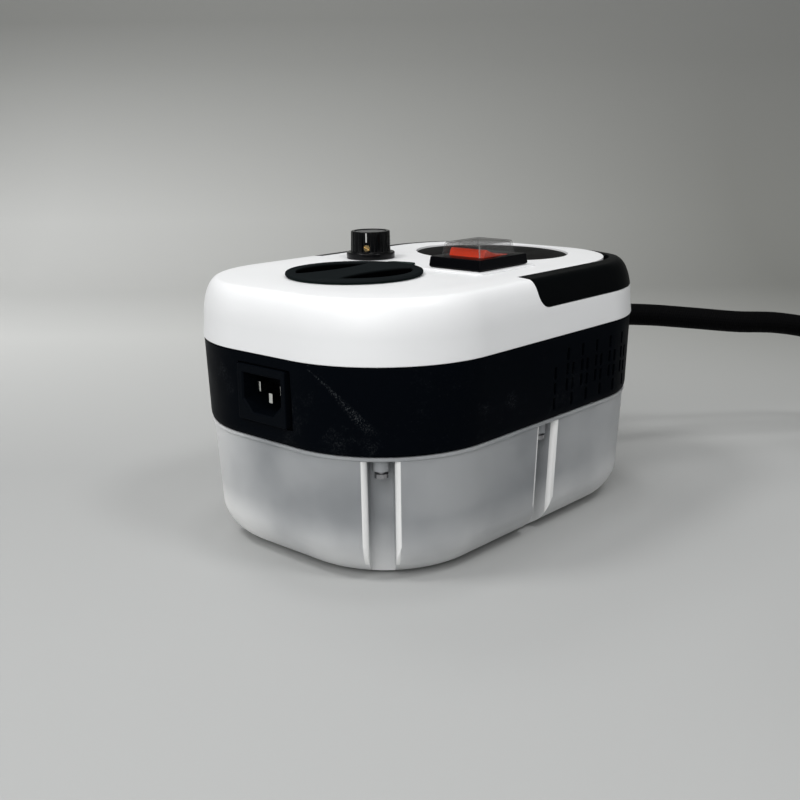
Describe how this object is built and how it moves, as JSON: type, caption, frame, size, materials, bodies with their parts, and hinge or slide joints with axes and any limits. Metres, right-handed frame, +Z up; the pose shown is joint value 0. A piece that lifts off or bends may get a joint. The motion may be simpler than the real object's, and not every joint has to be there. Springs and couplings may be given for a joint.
{
  "type": "steam cleaner",
  "caption": "Portable steam cleaner: frosted water tank, black vented shell, white cover with folding handle, filler cap, knob and covered switch, and a hose with a steam gun.",
  "frame": {"origin": "on the resting surface, under the middle of the body", "axes": "+Z up, +X along the body from the mains inlet to the hose outlet, +Y to the side away from the switch"},
  "size_m": [0.3893, 0.3355, 0.1288],
  "materials": {
    "frosted_plastic": "translucent frosted plastic",
    "black_plastic": "matte black plastic",
    "gloss_black_plastic": "glossy black plastic",
    "white_plastic": "satin white plastic",
    "grey_plastic": "matte dark grey plastic",
    "red_plastic": "glossy red plastic",
    "smoky_clear_plastic": "clear smoky plastic",
    "rubber": "dark rubber",
    "hose_braid": "fine black braid over rubber",
    "steel": "plain steel",
    "brass": "turned brass",
    "cast_aluminium": "as cast",
    "silicone": "translucent silicone",
    "circuit_board": "green board",
    "coil_tape": "yellow winding tape",
    "inlay_metal": "satin metal inlay"
  },
  "bodies": {
    "housing": {"water_tank": "frosted_plastic", "tank_gasket": "rubber", "tank_lid": "black_plastic", "tank_screw_1": "steel", "tank_screw_2": "steel", "tank_screw_3": "steel", "tank_screw_4": "steel", "tank_screw_5": "steel", "tank_screw_6": "steel", "middle_shell": "black_plastic", "top_cover": "white_plastic", "top_plate": "grey_plastic", "handle_pin_left": "steel", "handle_pin_right": "steel", "filler_neck": "black_plastic", "potentiometer_body": "black_plastic", "potentiometer_nut": "steel", "switch_housing": "gloss_black_plastic", "switch_cover": "smoky_clear_plastic", "inlet_housing": "black_plastic", "inlet_blade_live": "steel", "inlet_blade_neutral": "steel", "inlet_blade_earth": "steel", "heater_block": "cast_aluminium", "outlet_fitting": "brass", "steam_pipe": "brass", "heater_fitting": "brass", "relief_valve": "brass", "thermostat": "steel", "thermal_fuse": "steel", "pump_body": "steel", "pump_coil": "coil_tape", "pump_bracket": "steel", "suction_tube": "silicone", "suction_filter": "silicone", "feed_tube": "silicone", "control_board": "circuit_board", "hose_gland": "black_plastic", "steam_hose_run": "hose_braid", "steam_hose_coil": "hose_braid", "steam_hose_tail": "hose_braid", "gun_shell_left": "black_plastic", "gun_shell_right": "black_plastic", "trigger_pin": "steel", "gun_sleeve": "rubber", "gun_valve": "black_plastic", "gun_steam_tube": "brass", "gun_nozzle": "brass", "gun_collar": "grey_plastic"},
    "handle": {"carry_handle": "black_plastic"},
    "cap_carrier": {"cap_seal": "rubber"},
    "cap": {"filler_cap": "grey_plastic"},
    "knob": {"steam_knob": "gloss_black_plastic", "knob_disc": "inlay_metal", "knob_set_screw": "brass", "potentiometer_shaft": "steel"},
    "rocker": {"rocker_button": "red_plastic"},
    "trigger": {"gun_trigger": "grey_plastic"}
  },
  "joints": [
    {"name": "handle_fold", "type": "hinge", "parent": "housing", "child": "handle", "pos_m": [-0.003, 0, 0.11], "axis": [0, -1, 0], "range_deg": [0, 90]},
    {"name": "cap_lift", "type": "slide", "parent": "housing", "child": "cap_carrier", "axis": [0, 0, 1], "range_m": [0, 0.025]},
    {"name": "cap_turn", "type": "hinge", "parent": "cap_carrier", "child": "cap", "pos_m": [-0.047, 0, 0.118], "axis": [0, 0, 1], "range_deg": [0, 90]},
    {"name": "knob_turn", "type": "hinge", "parent": "housing", "child": "knob", "pos_m": [-0.001, 0.034, 0.118], "axis": [0, 0, -1], "range_deg": [0, 270]},
    {"name": "rocker_tip", "type": "hinge", "parent": "housing", "child": "rocker", "pos_m": [0.003, -0.0275, 0.1196], "axis": [0, -1, 0], "range_deg": [0, 24]},
    {"name": "trigger_press", "type": "hinge", "parent": "housing", "child": "trigger", "pos_m": [-0.019, -0.25, 0.0262], "axis": [0, 1, 0], "range_deg": [0, 6], "stiffness_Nm_per_rad": 1, "springref_deg": -5.73}
  ]
}
